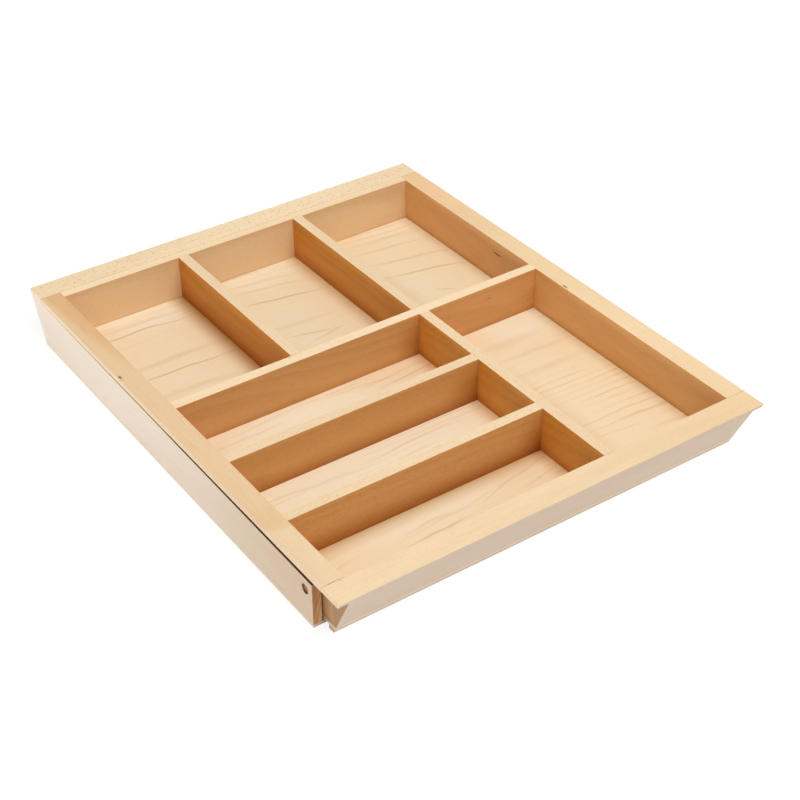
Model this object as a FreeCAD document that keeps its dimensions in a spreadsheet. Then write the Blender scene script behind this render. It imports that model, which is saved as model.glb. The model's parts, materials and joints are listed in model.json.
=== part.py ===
"""Extendable beech cutlery tray for a kitchen drawer.

The main tray has a bevelled front rail, two side rails with an overhanging rim, a back wall and
dividers on a plywood floor. A second frame, with two arms under the rims, a bevelled back rail and
its own plywood floor, slides out at the back to fill a wider drawer.

Units are millimetres. X runs along the front edge, Y from front to back, Z up. The origin is the
middle of the closed tray, on the surface that it stands on.
"""
import FreeCAD, Part
import os
import Sketcher

doc = FreeCAD.newDocument("CutleryTray")
sheet = doc.addObject("Spreadsheet::Sheet", "Sizes")


class Size:
    """A length, with the expression that works it out from the sheet's cells."""

    def __init__(self, value, text):
        self.value = value
        self.text = text

    def __add__(self, other):
        other = size(other)
        return Size(self.value + other.value, f"({self.text} + {other.text})")

    def __sub__(self, other):
        other = size(other)
        return Size(self.value - other.value, f"({self.text} - {other.text})")

    def __mul__(self, other):
        other = size(other)
        return Size(self.value * other.value, f"{self.text} * {other.text}")

    def __truediv__(self, other):
        other = size(other)
        return Size(self.value / other.value, f"{self.text} / ({other.text})")

    def __rmul__(self, other):
        return size(other) * self


def size(value):
    """A Size as it is, or a bare count or zero as a Size."""
    return value if isinstance(value, Size) else Size(value, str(value))


row_number = 0


def cell(name, value):
    """Write one driving dimension into the sheet and return it as a Size."""
    global row_number
    row_number += 1
    sheet.set(f"A{row_number}", name)
    sheet.set(f"B{row_number}", str(value))
    sheet.setAlias(f"B{row_number}", name)
    return Size(value, f"Sizes.{name}")


ZERO = size(0)

# Outer sizes
tray_width = cell("tray_width", 473)
tray_height = cell("tray_height", 57)

# Boards and plywood
board_thick = cell("board_thick", 11.4)
back_wall_thick = cell("back_wall_thick", 9.8)
floor_thick = cell("floor_thick", 3)
batten_height = cell("batten_height", 5)
batten_width = cell("batten_width", 9.5)

# Rims and bevelled rails
rim_width = cell("rim_width", 22)
rim_thick = cell("rim_thick", 5.4)
front_rail_top = cell("front_rail_top", 26.5)
front_rail_foot = cell("front_rail_foot", 3)
back_rail_top = cell("back_rail_top", 25.7)
back_rail_foot = cell("back_rail_foot", 2.5)

# Compartments, clear between the boards
slot_width = cell("slot_width", 87.4)
slot_length = cell("slot_length", 278.6)
back_row_depth = cell("back_row_depth", 226.7)
back_left_width = cell("back_left_width", 133.4)
back_middle_width = cell("back_middle_width", 131.8)

# Sliding frame
arm_thick = cell("arm_thick", 9)
arm_side_clearance = cell("arm_side_clearance", 1.5)
arm_setback = cell("arm_setback", 42)
arm_front_drop = cell("arm_front_drop", 3.8)
arm_back_drop = cell("arm_back_drop", 0.3)
closing_gap = cell("closing_gap", 0.4)
slide_travel = cell("slide_travel", 240)

# Stop dowels of the sliding frame and the grooves that they run in
stop_dowel_radius = cell("stop_dowel_radius", 5)
stop_dowel_inset = cell("stop_dowel_inset", 11)
stop_dowel_height = cell("stop_dowel_height", 36)
stop_dowel_recess = cell("stop_dowel_recess", 1.5)
stop_dowel_clearance = cell("stop_dowel_clearance", 0.3)
groove_depth = cell("groove_depth", 5)

# Joinery
housing_depth = cell("housing_depth", 3)
housing_stop = cell("housing_stop", 8)
housing_clearance = cell("housing_clearance", 0.1)
dowel_radius = cell("dowel_radius", 2.5)
dowel_clearance = cell("dowel_clearance", 0.05)
dowel_rail_depth = cell("dowel_rail_depth", 8)
dowel_board_depth = cell("dowel_board_depth", 14)
lower_dowel_height = cell("lower_dowel_height", 24)
upper_dowel_height = cell("upper_dowel_height", 43)

doc.recompute()

# Heights above the surface that the tray stands on
tray_floor_low = batten_height
board_low = batten_height + floor_thick
board_rise = tray_height - board_low
rim_low = tray_height - rim_thick

# Stations along Y from the front edge, each at the front of what it names
long_divider_front_at = front_rail_top + slot_width
long_divider_back_at = long_divider_front_at + board_thick + slot_width
row_divider_at = long_divider_back_at + board_thick + slot_width
back_row_at = row_divider_at + board_thick
back_wall_at = back_row_at + back_row_depth
tray_end = back_wall_at + back_wall_thick
back_rail_at = tray_end + closing_gap
tray_length = back_rail_at + back_rail_top

# Stations along X from the left edge, each at the left of what it names
back_divider_left_at = rim_width + back_left_width
back_divider_right_at = back_divider_left_at + board_thick + back_middle_width
cross_divider_at = rim_width + slot_length
inner_width = tray_width - 2 * rim_width

# Side rails and arms: the arm runs under the rim, beside the rail's wall
rim_overhang = arm_thick + arm_side_clearance
side_wall_thick = rim_width - rim_overhang
wall_centre = rim_overhang + side_wall_thick / 2
body_width = tray_width - 2 * rim_overhang

# Bevels: how far the face leans back for each millimetre of height
front_lean = (front_rail_top - front_rail_foot) / board_rise
back_rise = tray_height - floor_thick
back_lean = (back_rail_top - back_rail_foot) / back_rise

sub_parts = []


def place(piece, x, y, z):
    """Bind a piece's place, given from the left edge, the front edge and the ground."""
    piece.setExpression("Placement.Base.x", (x - tray_width / 2).text)
    piece.setExpression("Placement.Base.y", (y - tray_length / 2).text)
    piece.setExpression("Placement.Base.z", size(z).text)


def new_body(name, x, y, z):
    """Start a body that is one sub-part, with its local origin at the given place."""
    body = doc.addObject("PartDesign::Body", name)
    body.Label = name
    place(body, x, y, z)
    sub_parts.append(body)
    return body


def new_sketch(body, name, plane, offset=None):
    """Attach a sketch to one of the body's own planes, shifted along the plane's normal."""
    sketch = body.newObject("Sketcher::SketchObject", f"{body.Name}_{name}")
    support = [part for part in body.Origin.OriginFeatures if part.Role == plane][0]
    sketch.AttachmentSupport = [(support, "")]
    sketch.MapMode = "FlatFace"
    if offset is not None:
        sketch.setExpression("AttachmentOffset.Base.z", offset.text)
    return sketch


def fix_point(sketch, geometry, point, across, up):
    """Hold one point of a sketch at a place that follows the sheet."""
    for kind, axis, distance in (("DistanceX", -2, size(across)), ("DistanceY", -1, size(up))):
        if distance.text == ZERO.text:
            sketch.addConstraint(Sketcher.Constraint("PointOnObject", geometry, point, axis))
            continue
        constraint = Sketcher.Constraint(kind, -1, 1, geometry, point, distance.value)
        index = sketch.addConstraint(constraint)
        sketch.setExpression(f"Constraints[{index}]", distance.text)


def add_polygon(sketch, corners):
    """Draw a closed outline through the corners."""
    corners = [(size(across), size(up)) for across, up in corners]
    first = sketch.GeometryCount
    count = len(corners)
    ends = [FreeCAD.Vector(across.value, up.value, 0) for across, up in corners]
    for index in range(count):
        sketch.addGeometry(Part.LineSegment(ends[index], ends[(index + 1) % count]), False)
    for index in range(count):
        following = (index + 1) % count
        joined = Sketcher.Constraint("Coincident", first + index, 2, first + following, 1)
        sketch.addConstraint(joined)
    for index, (across, up) in enumerate(corners):
        fix_point(sketch, first + index, 1, across, up)


def add_rectangle(sketch, left, low, width, height):
    right = size(left) + width
    high = size(low) + height
    add_polygon(sketch, [(left, low), (right, low), (right, high), (left, high)])


def add_circle(sketch, across, up, radius):
    centre = FreeCAD.Vector(across.value, up.value, 0)
    axis = FreeCAD.Vector(0, 0, 1)
    index = sketch.addGeometry(Part.Circle(centre, axis, radius.value), False)
    fix_point(sketch, index, 3, across, up)
    constraint = sketch.addConstraint(Sketcher.Constraint("Radius", index, radius.value))
    sketch.setExpression(f"Constraints[{constraint}]", radius.text)


def add_slot(sketch, start, end, up, radius):
    """Draw a slot with round ends, whose end centres are at start and end."""
    axis = FreeCAD.Vector(0, 0, 1)
    quarter = FreeCAD.Units.parseQuantity("90 deg").getValueAs("rad").Value
    rim = radius.value
    left = FreeCAD.Vector(start.value, up.value, 0)
    right = FreeCAD.Vector(end.value, up.value, 0)
    rise = FreeCAD.Vector(0, rim, 0)
    top = sketch.addGeometry(Part.LineSegment(left + rise, right + rise), False)
    right_arc = Part.ArcOfCircle(Part.Circle(right, axis, rim), -quarter, quarter)
    right_end = sketch.addGeometry(right_arc, False)
    low = sketch.addGeometry(Part.LineSegment(right - rise, left - rise), False)
    left_arc = Part.ArcOfCircle(Part.Circle(left, axis, rim), quarter, 3 * quarter)
    left_end = sketch.addGeometry(left_arc, False)
    for one, one_point, other, other_point in (
        (top, 2, right_end, 2), (right_end, 1, low, 1), (low, 2, left_end, 2), (left_end, 1, top, 1),
    ):
        tangent = Sketcher.Constraint("Tangent", one, one_point, other, other_point)
        sketch.addConstraint(tangent)
    fix_point(sketch, right_end, 3, end, up)
    fix_point(sketch, left_end, 3, start, up)
    constraint = sketch.addConstraint(Sketcher.Constraint("Radius", right_end, rim))
    sketch.setExpression(f"Constraints[{constraint}]", radius.text)


def pad(body, sketch, length, along_normal=True):
    """Extrude a sketch; along_normal is False where the solid lies behind its plane."""
    feature = body.newObject("PartDesign::Pad", f"{sketch.Name}_pad")
    feature.Profile = sketch
    feature.setExpression("Length", size(length).text)
    feature.Reversed = not along_normal
    doc.recompute()


def cut(body, sketch, depth, along_normal=False):
    """Cut a sketch into the body, and stop if nothing was removed."""
    before = body.Shape.Volume
    feature = body.newObject("PartDesign::Pocket", f"{sketch.Name}_cut")
    feature.Profile = sketch
    feature.setExpression("Length", size(depth).text)
    feature.Reversed = along_normal
    doc.recompute()
    if not body.Shape.Volume < before:
        raise RuntimeError(f"{sketch.Name} removed nothing")


def cut_housings(body, name, housings):
    """Mill housings from below, each (x, y, width, depth), that stop short of the top edge."""
    sketch = new_sketch(body, name, "XY_Plane")
    for housing in housings:
        add_rectangle(sketch, *housing)
    cut(body, sketch, board_rise - housing_stop, along_normal=True)


def housing_across(at, thickness):
    """Start and width of the housing for a board of this thickness that starts at this place."""
    return at - housing_clearance, thickness + 2 * housing_clearance


def housed_outline(clear_length):
    """Outline of a board whose ends sit in housings, with a shoulder above each tongue."""
    tongue = housing_depth - housing_clearance
    shoulder = board_rise - housing_stop - housing_clearance
    full_length = clear_length + 2 * tongue
    return [
        (0, 0), (full_length, 0), (full_length, shoulder), (full_length - tongue, shoulder),
        (full_length - tongue, board_rise), (tongue, board_rise), (tongue, shoulder), (0, shoulder),
    ]


def board_along_x(name, left, front, clear_length, thickness):
    """A board whose clear length starts at left, housed at both ends."""
    tongue = housing_depth - housing_clearance
    body = new_body(name, left - tongue, front, board_low)
    sketch = new_sketch(body, "outline", "XZ_Plane")
    add_polygon(sketch, housed_outline(clear_length))
    pad(body, sketch, thickness, along_normal=False)
    return body


def board_along_y(name, left, front, clear_length, thickness):
    """A board whose clear length starts at front, housed at both ends."""
    tongue = housing_depth - housing_clearance
    body = new_body(name, left, front - tongue, board_low)
    sketch = new_sketch(body, "outline", "YZ_Plane")
    add_polygon(sketch, housed_outline(clear_length))
    pad(body, sketch, thickness)
    return body


def front_rail():
    """Bevelled rail: a full-width lip on top, and a body that ends inside the arms."""
    body = new_body("front_rail", ZERO, ZERO, board_low)
    section = new_sketch(body, "section", "YZ_Plane")
    outline = [
        (front_rail_top - front_rail_foot, 0), (front_rail_top, 0),
        (front_rail_top, board_rise), (0, board_rise),
    ]
    add_polygon(section, outline)
    pad(body, section, tray_width)
    under_lip = new_sketch(body, "under_lip", "XZ_Plane")
    for left in (ZERO, tray_width - rim_overhang):
        add_rectangle(under_lip, left, 0, rim_overhang, board_rise - rim_thick)
    cut(body, under_lip, front_rail_top)
    left, width = housing_across(cross_divider_at, board_thick)
    back_face = front_rail_top - housing_depth
    cut_housings(body, "divider_housing", [(left, back_face, width, housing_depth)])
    holes = new_sketch(body, "dowel_holes", "XZ_Plane", ZERO - front_rail_top)
    for across in (wall_centre, tray_width - wall_centre):
        for height in (lower_dowel_height, upper_dowel_height):
            add_circle(holes, across, height - board_low, dowel_radius + dowel_clearance)
    cut(body, holes, dowel_rail_depth + dowel_clearance, along_normal=True)


def side_rail(name, is_left):
    """L-section rail: a wall, and a rim that overhangs the sliding arm outside it."""
    length = tray_end - front_rail_top
    left = ZERO if is_left else tray_width - rim_width

    def from_outside(distance, width=ZERO):
        """Local X of the low side of something this far in from the rim's outer edge."""
        return distance if is_left else rim_width - distance - width

    body = new_body(name, left, front_rail_top, board_low)
    section = new_sketch(body, "section", "XZ_Plane")
    rim_edge = from_outside(ZERO)
    wall_outside = from_outside(rim_overhang)
    inside = from_outside(rim_width)
    rim_under = board_rise - rim_thick
    outline = [
        (wall_outside, 0), (inside, 0), (inside, board_rise),
        (rim_edge, board_rise), (rim_edge, rim_under), (wall_outside, rim_under),
    ]
    add_polygon(section, outline)
    pad(body, section, length, along_normal=False)

    housed = [(row_divider_at, board_thick)]
    if is_left:
        housed += [(long_divider_front_at, board_thick), (long_divider_back_at, board_thick)]
    housing_left = from_outside(rim_width - housing_depth, housing_depth)
    housings = []
    for at, thickness in housed:
        front, width = housing_across(at - front_rail_top, thickness)
        housings.append((housing_left, front, housing_depth, width))
    wall_front = back_wall_at - front_rail_top - housing_clearance
    wall_width = back_wall_thick + housing_clearance
    housings.append((housing_left, wall_front, housing_depth, wall_width))
    cut_housings(body, "housings", housings)

    groove = new_sketch(body, "groove", "YZ_Plane", wall_outside)
    start = arm_setback + stop_dowel_inset - front_rail_top
    height = stop_dowel_height - board_low
    add_slot(groove, start, start + slide_travel, height, stop_dowel_radius + stop_dowel_clearance)
    cut(body, groove, groove_depth, along_normal=is_left)

    holes = new_sketch(body, "dowel_holes", "XZ_Plane")
    for height in (lower_dowel_height, upper_dowel_height):
        radius = dowel_radius + dowel_clearance
        add_circle(holes, from_outside(wall_centre), height - board_low, radius)
    cut(body, holes, dowel_board_depth + dowel_clearance)


def back_wall():
    body = board_along_x("back_wall", rim_width, back_wall_at, inner_width, back_wall_thick)
    housings = []
    for at in (back_divider_left_at, back_divider_right_at):
        left, width = housing_across(at - rim_width + housing_depth - housing_clearance, board_thick)
        housings.append((left, 0, width, housing_depth))
    cut_housings(body, "housings", housings)


def row_divider():
    """Full-width divider, housed for one board in front of it and two behind it."""
    body = board_along_x("row_divider", rim_width, row_divider_at, inner_width, board_thick)
    tongue = housing_depth - housing_clearance
    behind = board_thick - housing_depth
    left, width = housing_across(cross_divider_at - rim_width + tongue, board_thick)
    cut_housings(body, "front_housing", [(left, 0, width, housing_depth)])
    housings = []
    for at in (back_divider_left_at, back_divider_right_at):
        left, width = housing_across(at - rim_width + tongue, board_thick)
        housings.append((left, behind, width, housing_depth))
    cut_housings(body, "back_housings", housings)


def front_cross_divider():
    """Divider between the long slots and the right compartment."""
    clear_length = row_divider_at - front_rail_top
    body = board_along_y(
        "front_cross_divider", cross_divider_at, front_rail_top, clear_length, board_thick
    )
    tongue = housing_depth - housing_clearance
    housings = []
    for at in (long_divider_front_at, long_divider_back_at):
        front, width = housing_across(at - front_rail_top + tongue, board_thick)
        housings.append((0, front, housing_depth, width))
    cut_housings(body, "housings", housings)


def tray_floor():
    """Plywood under the boards, with its front edge in the plane of the front bevel."""
    front = front_rail_top - front_rail_foot
    body = new_body("tray_floor", rim_overhang, front, tray_floor_low)
    section = new_sketch(body, "section", "YZ_Plane")
    length = tray_end - front
    lean = front_lean * floor_thick
    add_polygon(section, [(lean, 0), (length, 0), (length, floor_thick), (0, floor_thick)])
    pad(body, section, body_width)


def front_batten():
    """Batten that carries the front of the tray, its front face in the plane of the bevel."""
    front = front_rail_top - front_rail_foot + front_lean * floor_thick
    body = new_body("front_batten", rim_overhang, front, ZERO)
    section = new_sketch(body, "section", "YZ_Plane")
    outline = [
        (front_lean * batten_height, 0), (batten_width, 0),
        (batten_width, batten_height), (0, batten_height),
    ]
    add_polygon(section, outline)
    pad(body, section, body_width)


def back_rail():
    """Bevelled rail at the back of the sliding frame."""
    body = new_body("back_rail", ZERO, back_rail_at, floor_thick)
    section = new_sketch(body, "section", "YZ_Plane")
    outline = [(0, 0), (back_rail_foot, 0), (back_rail_top, back_rise), (0, back_rise)]
    add_polygon(section, outline)
    pad(body, section, tray_width)
    holes = new_sketch(body, "dowel_holes", "XZ_Plane")
    for across in (arm_thick / 2, tray_width - arm_thick / 2):
        for height in (lower_dowel_height, upper_dowel_height):
            add_circle(holes, across, height - floor_thick, dowel_radius + dowel_clearance)
    cut(body, holes, dowel_rail_depth + dowel_clearance)


def arm(name, left):
    """Side arm of the sliding frame. Its top edge falls towards the free front end."""
    body = new_body(name, left, arm_setback, floor_thick)
    length = back_rail_at - arm_setback
    rim_under = rim_low - floor_thick
    outline = [
        (0, 0), (length, 0), (length, rim_under - arm_back_drop), (0, rim_under - arm_front_drop),
    ]
    side = new_sketch(body, "side", "YZ_Plane")
    add_polygon(side, outline)
    pad(body, side, arm_thick)
    stop_hole = new_sketch(body, "stop_hole", "YZ_Plane")
    height = stop_dowel_height - floor_thick
    add_circle(stop_hole, stop_dowel_inset, height, stop_dowel_radius + dowel_clearance)
    cut(body, stop_hole, arm_thick, along_normal=True)
    holes = new_sketch(body, "dowel_holes", "XZ_Plane", ZERO - length)
    for height in (lower_dowel_height, upper_dowel_height):
        radius = dowel_radius + dowel_clearance
        add_circle(holes, arm_thick / 2, height - floor_thick, radius)
    cut(body, holes, dowel_board_depth + dowel_clearance, along_normal=True)


def extension_floor():
    """Plywood of the sliding frame, which lies under the tray's own floor."""
    body = new_body("extension_floor", ZERO, arm_setback, ZERO)
    section = new_sketch(body, "section", "YZ_Plane")
    top = back_rail_at + back_rail_foot - arm_setback
    low = top - back_lean * floor_thick
    add_polygon(section, [(0, 0), (low, 0), (top, floor_thick), (0, floor_thick)])
    pad(body, section, tray_width)


def cylinder(name, radius, length, x, y, z, axis):
    """A dowel that starts at the given place and runs along the axis."""
    pin = doc.addObject("Part::Cylinder", name)
    pin.setExpression("Radius", radius.text)
    pin.setExpression("Height", length.text)
    pin.Placement.Rotation = FreeCAD.Rotation(FreeCAD.Vector(0, 0, 1), axis)
    place(pin, x, y, z)
    return pin


def stop_dowel(name, is_left):
    """Dowel in the arm whose inner end runs in the side rail's groove."""
    reach = rim_overhang + groove_depth - stop_dowel_clearance
    start = stop_dowel_recess if is_left else tray_width - reach
    pin = cylinder(
        name, stop_dowel_radius, reach - stop_dowel_recess,
        start, arm_setback + stop_dowel_inset, stop_dowel_height, FreeCAD.Vector(1, 0, 0),
    )
    pin.Label = name
    sub_parts.append(pin)


def dowel_group(name, across, seam, rail_is_front):
    """Four dowels over the seam between a bevelled rail and the boards that butt against it."""
    before_seam = dowel_rail_depth if rail_is_front else dowel_board_depth
    pins = []
    for x in across:
        for z in (lower_dowel_height, upper_dowel_height):
            pins.append(cylinder(
                f"{name}_{len(pins)}", dowel_radius, dowel_rail_depth + dowel_board_depth,
                x, seam - before_seam, z, FreeCAD.Vector(0, 1, 0),
            ))
    group = doc.addObject("Part::Compound", name)
    group.Links = pins
    group.Label = name
    sub_parts.append(group)


front_rail()
side_rail("left_side_rail", is_left=True)
side_rail("right_side_rail", is_left=False)
back_wall()
row_divider()
for divider, front in (
    ("long_divider_front", long_divider_front_at), ("long_divider_back", long_divider_back_at),
):
    board_along_x(divider, rim_width, front, slot_length, board_thick)
front_cross_divider()
for divider, left in (
    ("back_divider_left", back_divider_left_at), ("back_divider_right", back_divider_right_at),
):
    board_along_y(divider, left, back_row_at, back_row_depth, board_thick)
tray_floor()
front_batten()
back_rail()
arm("left_arm", ZERO)
arm("right_arm", tray_width - arm_thick)
extension_floor()
stop_dowel("stop_dowel_left", is_left=True)
stop_dowel("stop_dowel_right", is_left=False)
dowel_group("frame_dowels", (wall_centre, tray_width - wall_centre), front_rail_top, True)
dowel_group("arm_dowels", (arm_thick / 2, tray_width - arm_thick / 2), back_rail_at, False)

doc.recompute()
for item in doc.Objects:
    if "Invalid" in item.State or "Error" in item.State:
        raise RuntimeError(f"{item.Label} failed")
for piece in sub_parts:
    if piece.Shape.isNull() or not piece.Shape.isValid():
        raise RuntimeError(f"{piece.Label} has no valid shape")

os.makedirs("parts", exist_ok=True)
for piece in sub_parts:
    piece.Shape.exportStep(f"parts/{piece.Label}.step")
    print(piece.Label, len(piece.Shape.Solids), round(piece.Shape.Volume / 1000, 2))
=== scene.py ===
"""Looks of an extendable beech cutlery tray: solid beech boards on beech plywood floors.

The woods come first, then their colours and marks, then the boards, the studio and the camera.
Lengths are in metres, unless a comment says mm.
"""
import json
from math import radians

import bmesh
import bpy
from mathutils import Matrix, Vector
from mathutils.bvhtree import BVHTree


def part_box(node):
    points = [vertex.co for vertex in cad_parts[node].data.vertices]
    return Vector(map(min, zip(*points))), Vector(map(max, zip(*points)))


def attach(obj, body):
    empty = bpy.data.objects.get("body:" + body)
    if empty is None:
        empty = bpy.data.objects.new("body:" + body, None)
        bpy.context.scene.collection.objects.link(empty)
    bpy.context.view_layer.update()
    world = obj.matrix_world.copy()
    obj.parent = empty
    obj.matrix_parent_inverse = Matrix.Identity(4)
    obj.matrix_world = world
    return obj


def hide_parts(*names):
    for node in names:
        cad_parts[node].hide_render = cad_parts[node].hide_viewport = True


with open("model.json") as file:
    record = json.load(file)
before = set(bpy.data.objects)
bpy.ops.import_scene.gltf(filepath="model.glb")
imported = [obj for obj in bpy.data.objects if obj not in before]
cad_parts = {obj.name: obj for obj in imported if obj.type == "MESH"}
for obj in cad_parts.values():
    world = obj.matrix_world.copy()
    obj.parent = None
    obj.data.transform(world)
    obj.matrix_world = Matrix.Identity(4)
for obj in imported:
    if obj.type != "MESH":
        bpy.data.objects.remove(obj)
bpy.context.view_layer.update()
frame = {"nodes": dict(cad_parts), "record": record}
body_of = {
    node: body
    for body, members in frame["record"]["behaviour"]["bodies"].items()
    for node in members
}

MM = 0.001
FLOOR_TOP = 8.0 * MM
RIM_FOOT = 51.6 * MM

# Relief and sheen of the sanded wood.
RELIEF, RELIEF_DEPTH = 0.25, 0.15 * MM
SHEEN = 0.35


class Tree:
    """Short calls that add nodes to a node tree and link them."""

    def __init__(self, node_tree):
        self.nodes = node_tree.nodes
        self.links = node_tree.links

    def add(self, kind, inputs=(), **settings):
        node = self.nodes.new(kind)
        for name, value in settings.items():
            setattr(node, name, value)
        for socket, value in dict(inputs).items():
            self.feed(node.inputs[socket], value)
        return node

    def feed(self, socket, value):
        if isinstance(value, bpy.types.NodeSocket):
            self.links.new(value, socket)
        else:
            socket.default_value = value

    def math(self, operation, first, second=0.0, third=0.0):
        inputs = {0: first, 1: second, 2: third}
        return self.add("ShaderNodeMath", inputs, operation=operation).outputs[0]

    def vector_math(self, operation, first, second=(0.0, 0.0, 0.0)):
        return self.add("ShaderNodeVectorMath", {0: first, 1: second}, operation=operation)

    def ramp_between(self, value, low, high):
        """0 below low, 1 above high, and a smooth rise between them."""
        inputs = {"Value": value, "From Min": low, "From Max": high}
        node = self.add("ShaderNodeMapRange", inputs, interpolation_type="SMOOTHSTEP")
        return node.outputs["Result"]

    def mix(self, factor, first, second, blend_type="MIX"):
        node = self.add("ShaderNodeMix", data_type="RGBA", blend_type=blend_type)
        self.feed(node.inputs["Factor"], factor)
        self.feed(node.inputs[6], first)
        self.feed(node.inputs[7], second)
        return node.outputs[2]

    def vector(self, x, y, z):
        return self.add("ShaderNodeCombineXYZ", {"X": x, "Y": y, "Z": z}).outputs[0]

    def noise(self, vector, cells, detail=1.0, roughness=0.5):
        """Noise from 0 to 1, with so many cells to the metre along each axis."""
        inputs = {"Vector": self.vector_math("MULTIPLY", vector, cells).outputs[0],
                  "Scale": 1.0, "Detail": detail, "Roughness": roughness}
        return self.add("ShaderNodeTexNoise", inputs).outputs["Fac"]

    def seen_directly(self):
        """1 on camera, glossy and transmission rays, which show a surface in the picture."""
        path = self.add("ShaderNodeLightPath").outputs
        seen = self.math("MAXIMUM", path["Is Camera Ray"], path["Is Glossy Ray"])
        return self.math("MAXIMUM", seen, path["Is Transmission Ray"])


class Surface(Tree):
    """A new material and its main shader."""

    def __init__(self, name):
        self.material = bpy.data.materials.new(name)
        self.material.use_nodes = True
        super().__init__(self.material.node_tree)
        self.shader = self.nodes["Principled BSDF"]


class Wood(Surface):
    """A wood's places and directions: along, across and above its grain."""

    def __init__(self, name, grain, shift):
        super().__init__(name)
        source = self.add("ShaderNodeTexCoord").outputs
        self.point = source["Object"]
        self.facing = source["Normal"]
        self.place = self.add("ShaderNodeSeparateXYZ", {0: self.point}).outputs
        self.normal = self.add("ShaderNodeSeparateXYZ", {0: self.facing}).outputs
        self.along, self.across = ("X", "Y") if grain == "X" else ("Y", "X")
        self.space = self.vector(
            self.math("ADD", self.place[self.along], shift[0]),
            self.math("ADD", self.place[self.across], shift[1]),
            self.math("ADD", self.place["Z"], shift[2]),
        )

    def toward(self, direction, low=0.45, high=0.80):
        """1 on the faces that look in this direction."""
        node = self.vector_math("DOT_PRODUCT", self.facing, direction)
        return self.ramp_between(node.outputs["Value"], low, high)

    def stained(self, colour, tint, amount):
        """The colour multiplied by a tint, by so much."""
        return self.mix(amount, colour, self.mix(1.0, colour, tint, "MULTIPLY"))

    def inside(self, middle, half_sizes, turn, softness):
        """1 inside an ellipsoid that is turned about Z, and 0 outside it."""
        away = self.vector_math("SUBTRACT", self.point, middle).outputs[0]
        turned = self.add("ShaderNodeVectorRotate", {"Vector": away, "Angle": -turn},
                          rotation_type="Z_AXIS").outputs[0]
        parts = self.vector_math("DIVIDE", turned, half_sizes).outputs[0]
        length = self.vector_math("LENGTH", parts).outputs["Value"]
        outside = self.ramp_between(length, 1.0 - softness, 1.0)
        return self.math("SUBTRACT", 1.0, outside)

    def marked(self, colour, tint, strength, *place):
        """A knot, a check or a patch of another tone in the wood."""
        amount = self.math("MULTIPLY", self.inside(*place), strength)
        return self.stained(colour, tint, amount)

    def fading(self, value, start, reach):
        """1 at the start, and less and less toward the end of the reach, where it is 0."""
        inputs = {"Value": value, "From Min": start + reach, "From Max": start}
        node = self.add("ShaderNodeMapRange", inputs, interpolation_type="LINEAR")
        return self.math("POWER", node.outputs["Result"], 1.5)

    def at_foot(self, axis, wall, reach, first, last):
        """1 at the foot of a wall that stands across this axis, only from first to last."""
        other = self.place["Y" if axis == "X" else "X"]
        near = self.fading(self.place[axis], wall, -reach)
        before = self.math("LESS_THAN", self.place[axis], wall)
        between = self.math("MULTIPLY", self.math("GREATER_THAN", other, first),
                            self.math("LESS_THAN", other, last))
        return self.math("MULTIPLY", self.math("MULTIPLY", near, before), between)

    def finish(self, colour, height, roughness):
        """Feed the shader its colour, a shallow relief and a soft sheen."""
        bumped = self.add("ShaderNodeBump", {"Height": height, "Strength": RELIEF,
                                             "Distance": RELIEF_DEPTH})
        self.feed(self.shader.inputs["Base Color"], colour)
        self.feed(self.shader.inputs["Normal"], bumped.outputs[0])
        self.feed(self.shader.inputs["Roughness"], roughness)
        self.shader.inputs["Specular IOR Level"].default_value = SHEEN
        return self.material


# Cells of noise to the metre in solid beech: along, across and above the grain.
RING_BEND = (2.4, 9.0, 9.0)
RING_WAVER = (14.0, 60.0, 60.0)
FIBRE = (26.0, 300.0, 300.0)
DRIFT = (3.5, 18.0, 18.0)
PORES = (900.0, 2600.0, 2600.0)

# What the bend and the waver add to the distance from the heart, at most.
BEND_REACH = 36.0 * MM
WAVER_REACH = 1.6 * MM

# What the grain adds to the tone of a face, and the tones that are lightest and darkest.
FIBRE_SHARE, DRIFT_SHARE = 0.32, 0.42
MEAN_LATE = 0.4
LIGHTEST, DARKEST = 0.20, 0.64

# How much weaker the growth bands are on a calm face, and how far the fibre on a calm outer
# side gives way to an even tone.
CALM_BANDS, CALM_FIBRE = 0.75, 0.6
EVEN = (0.5, 0.5, 0.5, 1.0)


def growth_rings(wood, middle, look):
    """Rings about the tree's heart: 0 in the early wood and up to 1 in the late wood."""
    heart_across, heart_above = look["heart"]
    bend = wood.noise(wood.space, RING_BEND)
    waver = wood.noise(wood.space, RING_WAVER)
    beside = wood.math("SUBTRACT", wood.place[wood.across], middle[wood.across] + heart_across)
    above = wood.math("SUBTRACT", wood.place["Z"], middle["Z"] + heart_above)
    square = wood.math("ADD", wood.math("MULTIPLY", beside, beside),
                       wood.math("MULTIPLY", above, above))
    radius = wood.math("MULTIPLY_ADD", bend, BEND_REACH, wood.math("SQRT", square))
    radius = wood.math("MULTIPLY_ADD", waver, WAVER_REACH, radius)
    rings = wood.math("FRACT", wood.math("DIVIDE", radius, look["ring"]))
    slow_rise = wood.ramp_between(rings, 0.15, 0.90)
    quick_fall = wood.math("SUBTRACT", 1.0, wood.ramp_between(rings, 0.92, 1.0))
    return wood.math("MULTIPLY", slow_rise, quick_fall)


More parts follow.
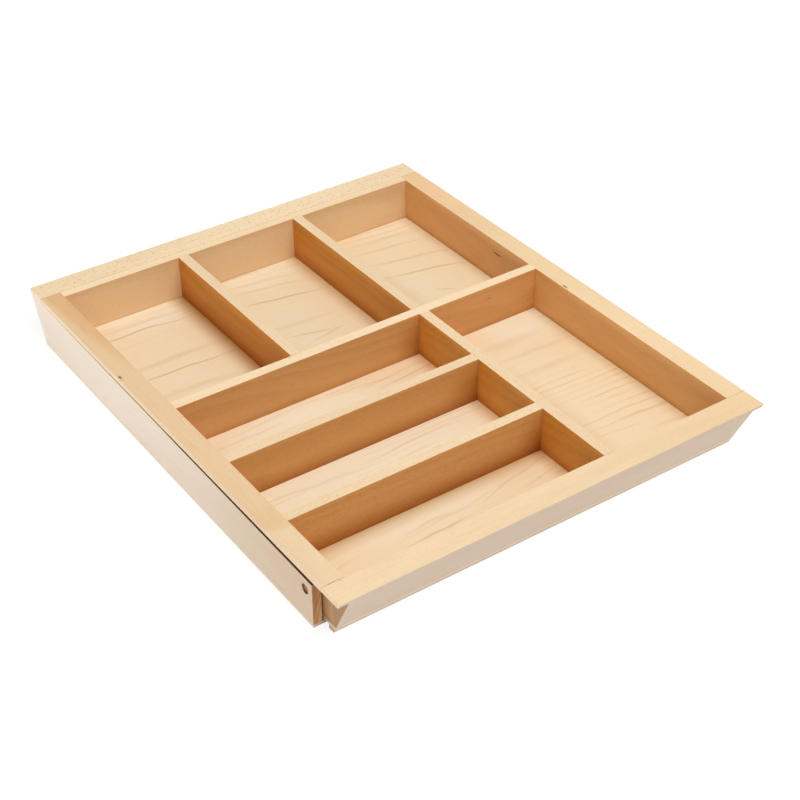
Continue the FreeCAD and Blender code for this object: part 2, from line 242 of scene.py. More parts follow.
def plain_faces(wood, look):
    """Colour of the faces before the grain, 1 on the top, and 1 on the outer side if it has one."""
    # The side, outer and rim colours are painted light and shade: the wood's tone drawn darker and
    # more orange on the sides, pale on the outer faces that the white surround lights, and darker
    # on the outer faces in shade.
    upward = wood.ramp_between(wood.normal["Z"], 0.5, 0.9)
    top, side, outside = look["top"], look["side"], None
    # Painted shadow on the top where the rim covers it.
    if "hidden_top" in look:
        tint, covered, bare = look["hidden_top"]
        top = wood.stained(top, tint, wood.ramp_between(wood.place["Y"], bare, covered))
    if "outer" in look:
        outer = look["outer"]
        if "rim" in look:
            above_rim = wood.math("GREATER_THAN", wood.place["Z"], RIM_FOOT)
            outer = wood.mix(above_rim, outer, look["rim"])
        outside = wood.toward(look["outward"])
        side = wood.mix(outside, side, outer)
    # Painted shade, darker and more orange, at the foot of the sides and outer faces.
    strength, rise = look["foot"]
    foot = wood.fading(wood.place["Z"], FLOOR_TOP, rise)
    side = wood.stained(side, FOOT_SHADE, wood.math("MULTIPLY", foot, strength))
    return wood.mix(upward, side, top), upward, outside


def end_grain(wood, late, look):
    """Colour of the ends, with the rings and pores cut across."""
    pores = wood.noise(wood.space, PORES)
    tone = wood.math("MULTIPLY_ADD", late, 0.55, wood.math("MULTIPLY", pores, 0.35))
    figure = wood.math("MULTIPLY", tone, look["end_figure"])
    colour = wood.stained(look["end"], END_GRAIN, figure)
    if "lip" in look:
        above_rim = wood.math("GREATER_THAN", wood.place["Z"], RIM_FOOT)
        colour = wood.mix(above_rim, colour, look["lip"])
    return colour


def beech(name, grain, shift, middle, look):
    """Solid beech: growth rings about a heart, fibre streaks and short ray flecks.

    middle is the board's middle. look gives the colours of the top, the side and the end, with
    painted shade on the sides and painted light and shade on the ends besides the end grain's own
    tone, the heart's distance across and above the middle, the width of a ring, the strengths of
    bands, flecks and end_figure, the cells of a speck, the strength and rise of the painted shade
    at the foot, how calm the outer side is, and the marks, some of them painted light and shade.
    It may give an outward direction with the colours of the outer side and the rim, which are
    painted light and shade, the colour of the end's lip, and the painted shadow on the top under
    the rim.
    """
    wood = Wood(name, grain, shift)
    late = growth_rings(wood, middle, look)
    fibre = wood.noise(wood.space, FIBRE, detail=3.0, roughness=0.6)
    drift = wood.noise(wood.space, DRIFT)
    fleck = wood.ramp_between(wood.noise(wood.space, look["speck"]), 0.60, 0.70)

    colour, calm, outside = plain_faces(wood, look)
    if outside is not None:
        outside = wood.math("MULTIPLY", outside, look["outer_calm"])
        calm = wood.math("MAXIMUM", calm, outside)
        fibre = wood.mix(wood.math("MULTIPLY", outside, CALM_FIBRE), fibre, EVEN)
    bands = wood.math("MULTIPLY_ADD", calm, -CALM_BANDS * look["bands"], look["bands"])
    tone = wood.math("MULTIPLY", wood.math("SUBTRACT", late, MEAN_LATE), bands)
    tone = wood.math("MULTIPLY_ADD", fibre, FIBRE_SHARE, tone)
    tone = wood.math("MULTIPLY_ADD", drift, DRIFT_SHARE, tone)
    tone = wood.ramp_between(tone, LIGHTEST, DARKEST)
    colour = wood.mix(tone, wood.mix(1.0, colour, LIGHT_FIBRE, "MULTIPLY"),
                      wood.mix(1.0, colour, DARK_FIBRE, "MULTIPLY"))
    colour = wood.stained(colour, RAY_FLECK, wood.math("MULTIPLY", fleck, look["flecks"]))

    at_end = wood.ramp_between(wood.math("ABSOLUTE", wood.normal[wood.along]), 0.80, 0.95)
    colour = wood.mix(at_end, colour, end_grain(wood, late, look))
    for spot in look["marks"]:
        colour = wood.marked(colour, *spot)

    height = wood.math("MULTIPLY_ADD", fibre, 0.6, wood.math("MULTIPLY", fleck, -0.5))
    roughness = wood.math("MULTIPLY_ADD", fibre, 0.16, 0.44)
    return wood.finish(colour, height, roughness)


# Cells of noise to the metre in rotary-cut veneer: along and across the grain.
SWELL = (1.6, 5.0, 0.0)
RIPPLE = (10.0, 26.0, 0.0)
FINE_RIPPLE = (60.0, 120.0, 0.0)
PRESENCE = (9.0, 28.0, 0.0)
SWAY = (16.0, 9.0, 0.0)
VENEER_FIBRE = (20.0, 340.0, 0.0)
VENEER_DRIFT = (4.0, 9.0, 0.0)
VENEER_SPECK = (200.0, 1300.0, 0.0)

LINES_TO_THE_METRE = 98.0
SWAY_REACH = 14.0 * MM

# Half of the middle ply's and of a glue line's share of the thickness.
HALF_CORE = 0.20
HALF_GLUE = 0.035


def contour_lines(wood, fibre, quiet):
    """The veneer's growth lines, broken by the fibre and faint in the quiet stretches."""
    axes = wood.add("ShaderNodeSeparateXYZ", {0: wood.space}).outputs
    swell = wood.noise(wood.space, SWELL, detail=0.0)
    ripple = wood.noise(wood.space, RIPPLE)
    fine = wood.noise(wood.space, FINE_RIPPLE)
    count = wood.math("MULTIPLY", axes["Y"], LINES_TO_THE_METRE)
    count = wood.math("MULTIPLY_ADD", swell, 9.0, count)
    count = wood.math("MULTIPLY_ADD", ripple, 1.1, count)
    count = wood.math("MULTIPLY_ADD", fine, 0.22, count)
    rings = wood.math("FRACT", count)
    rise = wood.ramp_between(rings, 0.40, 0.86)
    fall = wood.math("SUBTRACT", 1.0, wood.ramp_between(rings, 0.84, 1.0))
    band = wood.math("MULTIPLY", wood.math("POWER", rise, 2.0), fall)
    presence = wood.ramp_between(wood.noise(wood.space, PRESENCE), 0.34, 0.66)
    for strength, *place in quiet:
        kept = wood.math("MULTIPLY_ADD", wood.inside(*place), -strength, 1.0)
        presence = wood.math("MULTIPLY", presence, kept)
    broken = wood.math("MULTIPLY_ADD", fibre, 1.2, 0.2)
    return wood.math("MULTIPLY", wood.math("MULTIPLY", band, broken), presence)


def ply_edge(wood, low, thickness):
    """Three plies and the glue lines between them, from the bottom of the sheet up."""
    level = wood.math("DIVIDE", wood.math("SUBTRACT", wood.place["Z"], low), thickness)
    from_middle = wood.math("ABSOLUTE", wood.math("SUBTRACT", level, 0.5))
    core = wood.math("LESS_THAN", from_middle, HALF_CORE)
    from_glue = wood.math("ABSOLUTE", wood.math("SUBTRACT", from_middle, HALF_CORE))
    glue = wood.math("LESS_THAN", from_glue, HALF_GLUE)
    plies = wood.mix(wood.math("MULTIPLY", core, 0.75), EDGE_PLY, CORE_PLY)
    return wood.mix(glue, plies, GLUE_LINE)


def plywood(name, shift, low, thickness, quiet=(), marks=(), feet=()):
    """Rotary-cut beech veneer: contour lines on the faces, three plies at the edges.

    quiet gives the stretches with hardly a line, marks the lines and patches that stand out, and
    feet the shade at the feet of the walls: tint, axis, wall, reach, first and last.
    """
    wood = Wood(name, "X", shift)
    fibre = wood.noise(wood.space, VENEER_FIBRE, detail=3.0, roughness=0.6)
    drift = wood.noise(wood.space, VENEER_DRIFT)
    band = contour_lines(wood, fibre, quiet)
    tone = wood.math("MULTIPLY_ADD", fibre, 0.16, wood.math("MULTIPLY", band, 0.34))
    tone = wood.math("MULTIPLY_ADD", drift, 0.14, tone)
    tone = wood.ramp_between(tone, 0.04, 1.0)
    colour = wood.mix(tone, VENEER, VENEER_LINE)

    sway = wood.math("SUBTRACT", wood.noise(wood.space, SWAY), 0.5)
    swayed = wood.vector(0.0, wood.math("MULTIPLY", sway, SWAY_REACH), 0.0)
    wood.point = wood.vector_math("ADD", wood.point, swayed).outputs[0]
    for spot in marks:
        colour = wood.marked(colour, *spot)
    for tint, *wall in feet:
        colour = wood.stained(colour, tint, wood.at_foot(*wall))
    fleck = wood.ramp_between(wood.noise(wood.space, VENEER_SPECK), 0.60, 0.72)
    colour = wood.mix(wood.math("MULTIPLY", fleck, 0.14), colour, VENEER_LINE)

    level_face = wood.ramp_between(wood.math("ABSOLUTE", wood.normal["Z"]), 0.3, 0.6)
    colour = wood.mix(level_face, ply_edge(wood, low, thickness), colour)
    height = wood.math("MULTIPLY_ADD", band, -0.4, wood.math("MULTIPLY", fibre, 0.5))
    roughness = wood.math("MULTIPLY_ADD", fibre, 0.15, 0.42)
    return wood.finish(colour, height, roughness)


# Tints, which multiply a colour.
LIGHT_FIBRE = (1.03, 1.04, 1.05, 1.0)
DARK_FIBRE = (0.92, 0.87, 0.80, 1.0)
RAY_FLECK = (0.82, 0.67, 0.52, 1.0)
END_GRAIN = (0.62, 0.55, 0.50, 1.0)
GROWTH_LINE = (0.74, 0.62, 0.50, 1.0)
KNOT = (0.12, 0.05, 0.01, 1.0)
HALO = (0.80, 0.62, 0.42, 1.0)
CHECK = (0.20, 0.10, 0.03, 1.0)
WARMER = (0.95, 0.82, 0.66, 1.0)
TANNED = (0.96, 0.91, 0.84, 1.0)
REDDER = (0.97, 0.90, 0.91, 1.0)
# Painted shade on the arms' outer faces.
DEEPER_SHADE = (0.90, 0.80, 0.66, 1.0)
DIMMER_SHADE = (0.82, 0.80, 0.78, 1.0)
# Painted light on the floor, paler and bluer, where the walls' shade and orange light fall.
PALE_LIGHT = (1.02, 1.11, 1.23, 1.0)
PALE_FOOT_LIGHT = (1.03, 1.14, 1.28, 1.0)
# Painted light on the lower part of the arms' front ends.
PAINTED_END_LIGHT = (1.16, 1.32, 1.45, 1.0)
# Painted shade on the floor beside the dividers.
BESIDE_SHADE = (0.92, 0.88, 0.84, 1.0)
# Painted shade in the inner corners of the slots, where their walls meet the cross divider.
CORNER_SHADE = (0.80, 0.64, 0.42, 1.0)
# Painted shade at the foot of the boards' sides.
FOOT_SHADE = (0.52, 0.28, 0.02, 1.0)
GLOW = (1.0, 0.98, 0.90, 1.0)
SHADE = (0.94, 0.80, 0.60, 1.0)
DEEP_SHADE = (0.60, 0.37, 0.14, 1.0)
SLOT_SHADE = (0.68, 0.52, 0.34, 1.0)


def linear(red, green, blue):
    """A colour given in display values from 0 to 255, as the linear values that a shader takes."""
    channels = []
    for value in (red, green, blue):
        value /= 255
        low = value <= 0.04045
        channels.append(value / 12.92 if low else ((value + 0.055) / 1.055) ** 2.4)
    return (*channels, 1.0)


VENEER = linear(248, 226, 189)
VENEER_LINE = linear(198, 152, 98)
EDGE_PLY = linear(236, 218, 194)
CORE_PLY = linear(226, 206, 182)
GLUE_LINE = linear(198, 172, 144)

# TOP, LEFT_RIM and RIGHT_RIM hold the wood's own tone. The other colours of the boards are painted
# light and shade: the sides darker and more orange, the outer wall under the rim and the front
# slope darker, the arms' outer faces and the rim's edge pale in the white surround's light. The end
# colours hold the end grain's own darker tone with painted light and shade.
TOP = linear(242, 214, 175)
LEFT_RIM = linear(237, 207, 168)
RIGHT_RIM = linear(246, 216, 174)
LIT_RIM_EDGE = linear(238, 217, 186)
SHADED_SLOT_SIDE = linear(206, 152, 94)
SHADED_CROSS_SIDE = linear(213, 141, 53)
SHADED_ROW_CROSS_SIDE = linear(226, 157, 68)
SHADED_BACK_SIDE = linear(223, 188, 143)
SHADED_RAIL_SIDE = linear(232, 179, 114)
SHADED_WALL_OUTER = linear(198, 154, 111)
LIT_ARM_OUTER = linear(244, 229, 213)
SHADED_SLOPE = linear(219, 198, 175)
END = linear(196, 156, 116)
ARM_END = linear(226, 174, 122)
DOWEL_END = linear(176, 122, 84)

LEFT, RIGHT = (-1.0, 0.0, 0.0), (1.0, 0.0, 0.0)
FRONT, BACK = (0.0, -1.0, 0.0), (0.0, 1.0, 0.0)

# Painted shade at the foot of a board's sides: strength and rise.
NO_FOOT_SHADE = (0.0, 1.0 * MM)

# Painted shadow on the arms' top edge under the front half of the rim: the tint, the Y up to
# which it is full, and the Y from which there is none.
RIM_SHADOW = ((0.28, 0.20, 0.12, 1.0), -20.0 * MM, 20.0 * MM)

# The looks' side, outer, rim and end colours are painted light and shade, as above: the back rail's
# pale end is painted light, the front rail's dark end painted shade under its lip, and the back
# dividers' left faces, drawn in the outer colour, painted shade.
PLAIN = {"end": END, "heart": (0.075, -0.012), "ring": 0.0042, "bands": 0.16, "flecks": 0.35,
         "speck": (260.0, 1400.0, 1400.0), "foot": (0.5, 8.0 * MM), "end_figure": 1.0,
         "outer_calm": 1.0, "marks": ()}
ARM = {"top": TOP, "hidden_top": RIM_SHADOW, "side": SHADED_RAIL_SIDE, "outer": LIT_ARM_OUTER,
       "end": ARM_END, "ring": 0.0045, "flecks": 0.12, "foot": NO_FOOT_SHADE}
BACK_DIVIDER = {"top": TOP, "side": SHADED_SLOT_SIDE, "outer": SHADED_CROSS_SIDE, "outward": LEFT,
                "outer_calm": 0.0}
LOOKS = {
    "front_rail": {"top": TOP, "side": SHADED_SLOT_SIDE, "outer": SHADED_SLOPE, "outward": FRONT,
                   "end_figure": 0.4, "end": linear(180, 138, 98), "foot": NO_FOOT_SHADE,
                   "heart": (0.01, -0.09), "lip": TOP},
    "back_rail": {"top": linear(247, 221, 181), "side": TOP, "outer": SHADED_SLOPE, "outward": BACK,
                  "heart": (0.08, -0.02), "flecks": 1.0, "speck": (250.0, 680.0, 680.0),
                  "end": linear(232, 218, 204), "end_figure": 0.2, "foot": NO_FOOT_SHADE},
    "back_wall": {"top": linear(250, 221, 180), "side": SHADED_BACK_SIDE, "ring": 0.016,
                  "bands": 0.55, "foot": (0.2, 4.0 * MM)},
    "left_side_rail": {"top": LEFT_RIM, "side": SHADED_RAIL_SIDE, "outer": SHADED_WALL_OUTER, "outward": LEFT,
                       "rim": LIT_RIM_EDGE},
    "right_side_rail": {"top": RIGHT_RIM, "side": SHADED_RAIL_SIDE, "outer": SHADED_WALL_OUTER,
                        "outward": RIGHT, "rim": LIT_RIM_EDGE, "bands": 0.08},
    "row_divider": {"top": linear(250, 223, 184), "side": linear(204, 149, 90), "flecks": 0.5,
                    "foot": (0.45, 10.0 * MM)},
    "long_divider_front": {"top": TOP, "side": linear(205, 149, 85), "flecks": 0.8,
                           "foot": (1.0, 29.0 * MM)},
    "long_divider_back": {"top": TOP, "side": linear(204, 146, 82), "flecks": 0.8,
                          "foot": (0.9, 21.0 * MM)},
    "front_cross_divider": {"top": TOP, "side": SHADED_ROW_CROSS_SIDE, "flecks": 0.8,
                            "foot": (0.6, 14.0 * MM)},
    "back_divider_left": {**BACK_DIVIDER, "foot": (0.85, 32.0 * MM)},
    "back_divider_right": {**BACK_DIVIDER, "foot": (0.7, 18.0 * MM)},
    "left_arm": {**ARM, "outward": LEFT, "heart": (0.075, -0.03)},
    "right_arm": {**ARM, "outward": RIGHT, "heart": (-0.075, -0.03)},
    "front_batten": {"top": TOP, "side": SHADED_SLOPE, "end": linear(208, 180, 142),
                     "end_figure": 0.4, "foot": NO_FOOT_SHADE},
}
DOWEL = {**PLAIN, "top": SHADED_SLOT_SIDE, "side": SHADED_SLOT_SIDE, "end": DOWEL_END,
         "heart": (0.02, 0.02), "ring": 0.0021}


def ellipsoid(middle, half_sizes, turn=0.0, softness=0.75):
    """An ellipsoid that is given in mm and turned about Z, for Wood.inside."""
    return (tuple(value * MM for value in middle), tuple(value * MM for value in half_sizes),
            turn, softness)


def mark(tint, strength, *place, **shape):
    """A mark in the wood: a tint of some strength that fills an ellipsoid given in mm."""
    return (tint, strength, *ellipsoid(*place, **shape))


# In mm: the outer face of an arm and the inner face of the right side rail, the left faces of
# three dividers, the front faces of three more, and the levels of the tray's top and floor.
ARM_FACE, RAIL_FACE = 236.5, 214.5
LEFT_DIVIDER, RIGHT_DIVIDER, CROSS_DIVIDER = -81.1, 62.1, 64.1
ROW_FACE, BACK_SLOT_FACE, FRONT_SLOT_FACE = 18.75, -80.05, -178.85
TOP_LEVEL, FLOOR_LEVEL = 57, 8

FRONT_JOINT = [
    mark(CHECK, 0.7, (-226.5, -265.9, TOP_LEVEL), (6.8, 0.4, 2), turn=0.03),
    mark(CHECK, 0.6, (-219.2, -267.2, TOP_LEVEL), (0.4, 4.5, 2), turn=0.5),
]
MARKS = {
    "front_rail": FRONT_JOINT + [
        mark(TANNED, 1.0, (240, -279, TOP_LEVEL), (180, 50, 10), softness=0.9),
    ],
    "left_side_rail": FRONT_JOINT + [
        mark(HALO, 0.8, (-233.8, 93.5, TOP_LEVEL), (3, 7, 3)),
        mark(KNOT, 1.0, (-234, 94, TOP_LEVEL), (1.4, 3, 3)),
        mark(TANNED, 1.0, (-220, 45, TOP_LEVEL), (60, 234, 40), softness=0.02),
        mark(TANNED, 0.5, (-220, -165, TOP_LEVEL), (30, 28, 10), turn=0.5, softness=0.9),
        mark(WARMER, 1.0, (-220, 290, TOP_LEVEL), (18, 220, 10), turn=0.03, softness=0.5),
    ],
    "right_side_rail": [
        mark(CHECK, 1.0, (216.8, -26.5, TOP_LEVEL), (1.3, 6, 2)),
        mark(KNOT, 1.0, (RAIL_FACE, 85, 42.2), (2, 9.5, 1), softness=0.5),
        mark(REDDER, 1.0, (RAIL_FACE, 138, 25), (3, 140, 40), softness=0.4),
        mark(CHECK, 0.5, (RAIL_FACE, 237, 31.9), (2, 3.5, 0.9)),
        mark(TANNED, 0.6, (223, 45, TOP_LEVEL), (40, 170, 10), softness=0.7),
        mark(WARMER, 0.8, (226, 300, TOP_LEVEL), (30, 240, 10), softness=0.8),
        mark(CHECK, 0.6, (226, 266.7, TOP_LEVEL), (13, 0.5, 2), softness=0.5),
    ],
    # Painted shade in the corners by the cross divider, on the front faces of the slot walls.
    "row_divider": [
        mark(CHECK, 0.5, (153, ROW_FACE, 42.5), (4.5, 2, 0.8)),
        mark(CORNER_SHADE, 1.0, (CROSS_DIVIDER, ROW_FACE, 20), (35, 4, 45), softness=0.9),
    ],
    "long_divider_back": [
        mark(CORNER_SHADE, 1.0, (CROSS_DIVIDER, BACK_SLOT_FACE, 20), (50, 4, 45), softness=0.9),
    ],
    "long_divider_front": [
        mark(CORNER_SHADE, 1.0, (CROSS_DIVIDER, FRONT_SLOT_FACE, 20), (35, 4, 45), softness=0.9),
    ],
    "back_divider_right": [
        mark(CHECK, 0.5, (RIGHT_DIVIDER, 229.5, 19.3), (2, 17, 0.9)),
    ],
}
# Painted shade on the arms' outer faces, darkest at the front end.
for node, outer_face in (("left_arm", -ARM_FACE), ("right_arm", ARM_FACE)):
    MARKS[node] = [
        mark(DEEPER_SHADE, 0.9, (outer_face, -330, 30), (8, 420, 200), softness=0.9),
        mark(DIMMER_SHADE, 0.9, (outer_face, -330, 30), (8, 620, 200), softness=0.9),
        mark(DIMMER_SHADE, 0.9, (outer_face, 360, 30), (8, 420, 200), softness=0.9),
        # Painted light on the lower part of the arm's front end.
        mark(PAINTED_END_LIGHT, 1.0, (0.97 * outer_face, -258, 8), (7, 30, 30)),
    ]

# Growth lines that stand out in the veneer: strength, then middle and half sizes in mm, and the
# turn in degrees.
LINES = [
    (0.95, (-150, 223), (90, 2.1), -4), (0.40, (-150, 238), (80, 5.0), -4),
    (1.00, (-150, 138), (95, 2.2), -3), (0.45, (-150, 160), (90, 6.0), -2),
    (0.35, (-155, 101), (80, 6.0), -2),
    (1.00, (5, 190), (76, 2.1), -12), (0.40, (-5, 234), (70, 5.0), -8),
    (0.45, (0, 218), (70, 3.0), -9), (0.65, (-4, 116), (44, 2.4), -12),
    (0.55, (8, 106), (32, 2.2), 12), (0.30, (-5, 140), (60, 6.0), -4),
    (1.00, (168, 149), (78, 2.2), -18), (0.65, (168, 181), (78, 2.8), -14),
    (0.50, (158, 214), (70, 2.6), -6), (0.60, (160, 104), (24, 2.0), -36),
    (0.35, (168, 232), (70, 5.0), -6),
    (0.35, (158, -16), (56, 8.0), 0), (0.35, (166, -42), (60, 5.0), -3),
    (0.35, (158, -74), (60, 7.0), 0),
    (0.50, (18, -198), (72, 2.0), 14), (0.35, (40, -210), (44, 2.0), 13),
    (0.30, (-60, -206), (90, 2.8), 6), (0.45, (-20, 6), (80, 2.2), -7),
    (0.45, (-30, -96), (100, 2.2), 4), (0.40, (-140, -100), (80, 2.6), -5),
]
LINE_STRENGTH, LINE_WIDTH, LINE_SOFTNESS = 0.8, 1.15, 0.95
FIGURE = [
    mark(GROWTH_LINE, LINE_STRENGTH * strength, (x, y, FLOOR_LEVEL),
         (length, LINE_WIDTH * width, 2), turn=radians(turn), softness=LINE_SOFTNESS)
    for strength, (x, y), (length, width), turn in LINES
]
# Painted light on the floor, paler and bluer: across the slots, and at the feet of the back walls
# and of the row divider.
FIGURE += [
    mark(PALE_LIGHT, 1.0, (-85, -100, FLOOR_LEVEL), (172, 135, 10), softness=0.35),
    mark(PALE_FOOT_LIGHT, 1.0, (-125, 262, FLOOR_LEVEL), (85, 60, 10), softness=0.6),
    mark(PALE_FOOT_LIGHT, 0.9, (10, 262, FLOOR_LEVEL), (80, 60, 10), softness=0.6),
    mark(PALE_FOOT_LIGHT, 0.7, (190, 262, FLOOR_LEVEL), (60, 60, 10), softness=0.6),
    mark(PALE_FOOT_LIGHT, 1.0, (190, 24, FLOOR_LEVEL), (75, 65, 10), softness=0.6),
    mark(PALE_LIGHT, 0.5, (-110, 15, FLOOR_LEVEL), (130, 28, 10), softness=0.6),
    # Painted shade on the floor beside the dividers, on the left of the right-hand compartments.
    mark(BESIDE_SHADE, 1.0, (112, -150, FLOOR_LEVEL), (26, 150, 10), softness=0.8),
    mark(BESIDE_SHADE, 1.0, (110, 125, FLOOR_LEVEL), (26, 100, 10), softness=0.8),
]

# Shade on the floor at the feet of the walls: tint, the axis across the wall, then in mm the
# wall, the reach of the shade, and where along the wall it starts and ends.
BACK_END, ROW_END, FRONT_END = 257, 18.8, -267
SHADES = [
    (GLOW, "X", RAIL_FACE, 18, ROW_END, BACK_END),
    (GLOW, "X", RAIL_FACE, 18, FRONT_END, ROW_END),
    (SHADE, "X", RIGHT_DIVIDER, 22, ROW_END, BACK_END),
    (DEEP_SHADE, "X", LEFT_DIVIDER, 25, ROW_END, BACK_END),
    (SHADE, "X", CROSS_DIVIDER, 22, FRONT_END, ROW_END),
    (SLOT_SHADE, "Y", FRONT_SLOT_FACE, 20, -218, CROSS_DIVIDER),
]
FEET = [(tint, axis, *(value * MM for value in values)) for tint, axis, *values in SHADES]

# Stretches of veneer with hardly a line in them, with the strength first.
QUIET = [
    (0.90, *ellipsoid((145, -10, FLOOR_LEVEL), (80, 95, 10), softness=0.4)),
    (0.75, *ellipsoid((0, 140, FLOOR_LEVEL), (300, 130, 10), softness=0.3)),
    (0.85, *ellipsoid((0, -200, FLOOR_LEVEL), (75, 50, 10), softness=0.4)),
]

# An edge is eased when it is longer and sharper than this, and no other board is this near.
SHORTEST_EDGE = 6.0 * MM
SHARP = radians(25)
JOINT_REACH = 0.6 * MM

# Faces up to this angle, and corners up to this distance apart, count as one.
FLAT = radians(1)
WELD = 0.002 * MM

# By how much the edges of a board and of a plywood are eased.
BOARD_EASE, PLY_EASE = 0.35 * MM, 0.2 * MM

surfaces = {}
for name, source in frame["nodes"].items():
    corners = [corner.co for corner in source.data.vertices]
    faces = [tuple(face.vertices) for face in source.data.polygons]
    surfaces[name] = BVHTree.FromPolygons(corners, faces)


def meets_another(line, others):
    """True where an edge lies against another board, so that it stays sharp in the joint."""
    first, last = (corner.co for corner in line.verts)
    for share in (0.2, 0.5, 0.8):
        point = first.lerp(last, share)
        if all(other.find_nearest(point, JOINT_REACH)[0] is None for other in others):
            return False
    return True


def finished_board(node, material, ease):
    """The board as sanded: flat faces joined, and every free edge eased."""
    mesh = bmesh.new()
    mesh.from_mesh(frame["nodes"][node].data)
    bmesh.ops.remove_doubles(mesh, verts=mesh.verts, dist=WELD)
    bmesh.ops.dissolve_limit(mesh, angle_limit=FLAT, verts=mesh.verts, edges=mesh.edges)
    others = [tree for name, tree in surfaces.items() if name != node]
    free = [
        line for line in mesh.edges
        if len(line.link_faces) == 2 and line.calc_face_angle_signed() > SHARP
        and line.calc_length() > SHORTEST_EDGE and not meets_another(line, others)
    ]
    bmesh.ops.bevel(mesh, geom=free, offset=ease, segments=2, profile=0.5,
                    affect="EDGES", clamp_overlap=True)
    data = bpy.data.meshes.new(f"{node}_board")
    mesh.to_mesh(data)
    mesh.free()
    piece = bpy.data.objects.new(f"{node}_board", data)
    bpy.context.scene.collection.objects.link(piece)
    data.materials.append(material)
    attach(piece, body_of[node])
    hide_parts(node)


def middle_of(node):
    low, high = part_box(node)
    return dict(zip("XYZ", (low + high) / 2))


GRAIN_X = ("front_rail", "back_wall", "row_divider", "long_divider_front", "long_divider_back",
           "front_batten", "back_rail")
GRAIN_Y = ("left_side_rail", "right_side_rail", "front_cross_divider", "back_divider_left",
           "back_divider_right", "left_arm", "right_arm")

for index, node in enumerate(GRAIN_X + GRAIN_Y):
    grain = "X" if node in GRAIN_X else "Y"
    shift = (0.37 * index, 0.11 * index + 0.02, 0.05 * index)
    look = {**PLAIN, **LOOKS[node], "marks": MARKS.get(node, ())}
    material = beech(f"beech_{node}", grain, shift, middle_of(node), look)
    finished_board(node, material, BOARD_EASE)

for node, shift, *figure in (("tray_floor", (0.4, 0.2, 0.0), QUIET, FIGURE, FEET),
                             ("extension_floor", (3.1, 1.7, 0.0))):
    low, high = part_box(node)
    material = plywood(f"plywood_{node}", shift, low.z, high.z - low.z, *figure)
    finished_board(node, material, PLY_EASE)

for node in ("frame_dowels", "arm_dowels", "stop_dowel_left", "stop_dowel_right"):
    grain = "X" if node.startswith("stop") else "Y"
    material = beech(f"beech_{node}", grain, (1.0, 2.0, 3.0), middle_of(node), DOWEL)
    data = frame["nodes"][node].data
    data.materials.clear()
    data.materials.append(material)


# What the floor shows to the camera: its glow under the tray, how much that rises, the distances
# from the tray's middle at which the rise starts and is complete, and the grey that takes shadow.
FLOOR_GLOW, GLOW_RISE = 0.86, 0.14
RISE_FROM, RISE_TO = 0.7, 1.6
SHADOW_GREY = (0.18, 0.18, 0.18, 1.0)

# The floor as the light meets it, and the colour and strength of the light from all round.
PAPER = (0.88, 0.88, 0.88, 1.0)
WHITE = (1.0, 1.0, 1.0, 1.0)
WORLD_LIGHT = 0.50


def stage_floor():
    """White studio floor: it takes the tray's shadow, and shows white to the camera.

    What the camera sees is a glow plus a little of the light that falls there, so that only the
    shadow shows. Away from the tray the glow alone is white.
    """
    mesh = bmesh.new()
    bmesh.ops.create_grid(mesh, x_segments=1, y_segments=1, size=6.0)
    data = bpy.data.meshes.new("studio_floor")
    mesh.to_mesh(data)
    mesh.free()
    floor = bpy.data.objects.new("studio_floor", data)
    floor.location.z = -0.3 * MM
    bpy.context.scene.collection.objects.link(floor)
    paper = Surface("studio_floor")
    paper.shader.inputs["Base Color"].default_value = PAPER
    paper.shader.inputs["Roughness"].default_value = 0.9
    paper.shader.inputs["Specular IOR Level"].default_value = 0.0
    place = paper.add("ShaderNodeTexCoord").outputs["Object"]
    away = paper.vector_math("LENGTH", place).outputs["Value"]
    rise = paper.ramp_between(away, RISE_FROM, RISE_TO)
    strength = paper.math("MULTIPLY_ADD", rise, GLOW_RISE, FLOOR_GLOW)
    glow = paper.add("ShaderNodeEmission", {"Strength": strength})
    shaded = paper.add("ShaderNodeBsdfDiffuse", {"Color": SHADOW_GREY})
    white = paper.add("ShaderNodeAddShader", {0: glow.outputs[0], 1: shaded.outputs[0]})
    look = paper.add("ShaderNodeMixShader", {0: paper.seen_directly(),
                                             1: paper.shader.outputs[0], 2: white.outputs[0]})
    paper.links.new(look.outputs[0], paper.nodes["Material Output"].inputs["Surface"])
    data.materials.append(paper.material)


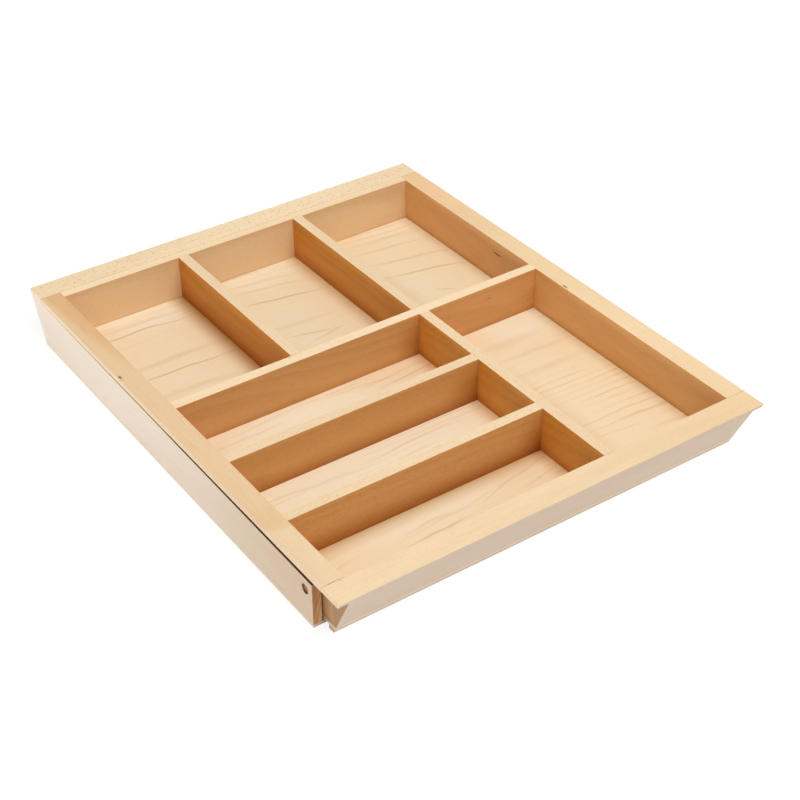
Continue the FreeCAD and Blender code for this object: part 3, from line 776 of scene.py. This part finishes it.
def white_world():
    """Soft light from all round, and plain white wherever the surround itself is seen."""
    world = bpy.data.worlds.new("studio")
    bpy.context.scene.world = world
    world.use_nodes = True
    sky = Tree(world.node_tree)
    lit = sky.nodes["Background"]
    lit.inputs["Color"].default_value = WHITE
    lit.inputs["Strength"].default_value = WORLD_LIGHT
    white = sky.add("ShaderNodeBackground", {"Color": WHITE, "Strength": 1.0})
    both = sky.add("ShaderNodeMixShader", {0: sky.seen_directly(), 1: lit.outputs[0],
                                           2: white.outputs[0]})
    sky.links.new(both.outputs[0], sky.nodes["World Output"].inputs["Surface"])


# Soft boxes: name, place, target, width, height and power in watts.
LAMPS = (
    ("overhead", (0.15, -2.1, 3.4), (0.0, 0.0, 0.0), 2.0, 2.0, 94.0),
    ("left", (-1.5, 1.0, 0.09), (-0.2, 0.15, 0.05), 1.2, 0.16, 10.0),
    ("right", (2.2, 0.0, 0.10), (0.2, 0.0, 0.05), 2.4, 0.20, 8.0),
    ("back", (0.0, 2.2, 0.10), (0.0, 0.2, 0.05), 2.4, 0.20, 8.0),
)


def area_light(name, place, target, width, height, power):
    """A soft box that lights the tray and isn't seen itself."""
    light = bpy.data.lights.new(name, "AREA")
    light.shape = "RECTANGLE"
    light.size = width
    light.size_y = height
    light.energy = power
    lamp = bpy.data.objects.new(name, light)
    lamp.location = place
    lamp.rotation_euler = (Vector(target) - Vector(place)).to_track_quat("-Z", "Y").to_euler()
    lamp.visible_camera = False
    bpy.context.scene.collection.objects.link(lamp)


# Camera of the photograph: lens and sensor in mm, angles in degrees, and its place.
LENS, SENSOR = 73.84, 36.0
AZIMUTH, ELEVATION, ROLL = 34.69, 36.03, -0.413
EYE = (-0.7443, -1.1137, 0.9615)


def photo_camera():
    """Camera solved from the straight edges in the photograph."""
    camera = bpy.data.cameras.new("photo_camera")
    camera.sensor_width = SENSOR
    camera.lens = LENS
    camera.clip_end = 50.0
    eye = bpy.data.objects.new("photo_camera", camera)
    turn = Matrix.Rotation(radians(-AZIMUTH), 4, "Z")
    tilt = Matrix.Rotation(radians(90.0 - ELEVATION), 4, "X")
    roll = Matrix.Rotation(radians(ROLL), 4, "Z")
    place = Matrix.Translation(EYE)
    eye.matrix_world = place @ turn @ tilt @ roll
    bpy.context.scene.collection.objects.link(eye)
    bpy.context.scene.camera = eye


stage_floor()
white_world()
for lamp in LAMPS:
    area_light(*lamp)
photo_camera()
bpy.context.scene.view_settings.view_transform = "Standard"
